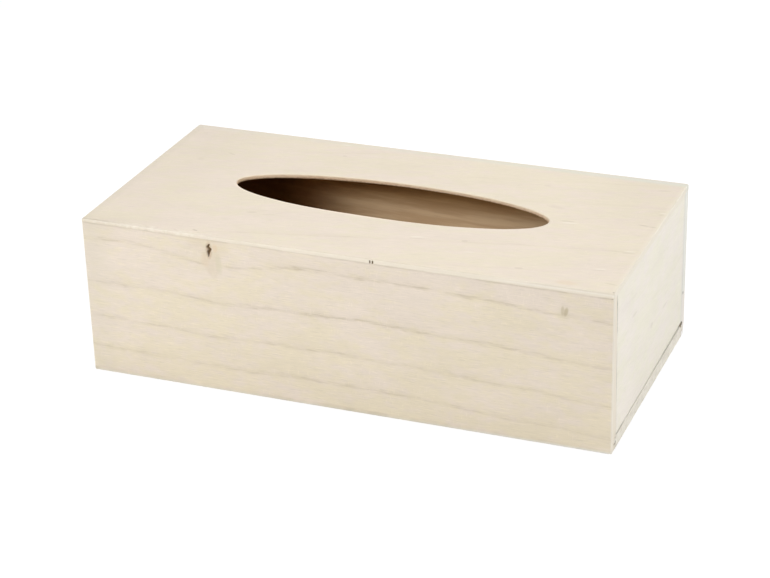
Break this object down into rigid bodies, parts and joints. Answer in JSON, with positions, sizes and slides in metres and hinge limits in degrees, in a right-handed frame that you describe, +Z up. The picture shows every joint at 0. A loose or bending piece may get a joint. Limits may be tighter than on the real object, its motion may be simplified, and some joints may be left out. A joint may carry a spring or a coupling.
{
  "type": "tissue box",
  "caption": "Plain wooden box that holds a pack of facial tissues, with an oval slot in its thin top sheet and a bottom board that slides out along grooves.",
  "frame": {"origin": "centre of the underside of the closed box", "axes": "+X along the length, towards the end that the bottom board slides out of; +Y towards the back panel; +Z up"},
  "size_m": [0.26, 0.128, 0.08],
  "materials": {
    "top_wood": "bare sanded pale wood, matt, faint grain along the length",
    "side_wood": "bare sanded pale wood, matt, soft growth lines along the length and small knots",
    "end_wood": "bare sanded pale wood, matt",
    "bottom_wood": "bare pale wood, matt, left a little rougher than the walls"
  },
  "bodies": {
    "box": {"top_panel": "top_wood", "front_panel": "side_wood", "back_panel": "side_wood", "left_end_panel": "end_wood", "right_end_panel": "end_wood"},
    "bottom": {"sliding_bottom": "bottom_wood"}
  },
  "joints": [
    {"name": "bottom_slide", "type": "slide", "parent": "box", "child": "bottom", "axis": [1, 0, 0], "range_m": [0, 0.258]}
  ]
}
